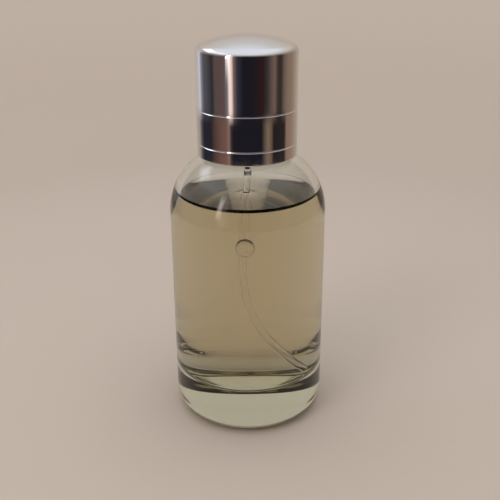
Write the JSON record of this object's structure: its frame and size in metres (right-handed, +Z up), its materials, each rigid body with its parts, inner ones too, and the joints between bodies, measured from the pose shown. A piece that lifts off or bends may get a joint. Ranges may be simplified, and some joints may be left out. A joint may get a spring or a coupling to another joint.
{
  "type": "aftershave spray bottle",
  "caption": "Round heavy-based clear glass spray bottle with pale olive liquid, crimped mist pump, dip tube and a pull-off domed chrome cap.",
  "frame": {"origin": "centre of the bottle's base, on the plane of the ring that it stands on", "axes": "+Z up along the bottle's axis; the spray hole faces -Y"},
  "size_m": [0.05, 0.0507, 0.1256],
  "materials": {
    "glass": "clear",
    "liquid": "clear tinted",
    "chrome": "polished",
    "aluminium": "bright",
    "steel": "bright",
    "white_plastic": "moulded",
    "dark_plastic": "moulded",
    "clear_plastic": "clear extruded",
    "rubber": "plain"
  },
  "bodies": {
    "bottle": {"glass_bottle": "glass", "fragrance_liquid": "liquid", "dip_tube": "clear_plastic", "pump_housing": "dark_plastic", "return_spring": "steel", "neck_gasket": "rubber", "stem_seal": "rubber", "pump_turret": "white_plastic", "crimp_ferrule": "aluminium", "collar": "aluminium"},
    "plunger": {"stem": "white_plastic", "piston": "white_plastic", "dosing_spring": "steel"},
    "actuator": {"actuator_core": "white_plastic", "actuator_shell": "aluminium", "nozzle_insert": "white_plastic"},
    "ball": {"inlet_ball": "steel"},
    "cap": {"cap_shell": "chrome", "cap_liner": "white_plastic", "cap_weight": "steel"}
  },
  "joints": [
    {"name": "spray_press", "type": "slide", "parent": "bottle", "child": "plunger", "axis": [0, 0, -1], "range_m": [0, 0.004], "stiffness_N_per_m": 2000, "springref_m": -0.004, "deforming": ["return_spring"]},
    {"name": "actuator_turn", "type": "hinge", "parent": "plunger", "child": "actuator", "pos_m": [0, 0, 0.1122], "axis": [0, 0, 1], "continuous": true},
    {"name": "ball_lift", "type": "slide", "parent": "bottle", "child": "ball", "axis": [0, 0, 1], "range_m": [0, 0.0004]},
    {"name": "cap_lift", "type": "slide", "parent": "bottle", "child": "cap", "axis": [0, 0, 1], "range_m": [0, 0.045]}
  ]
}
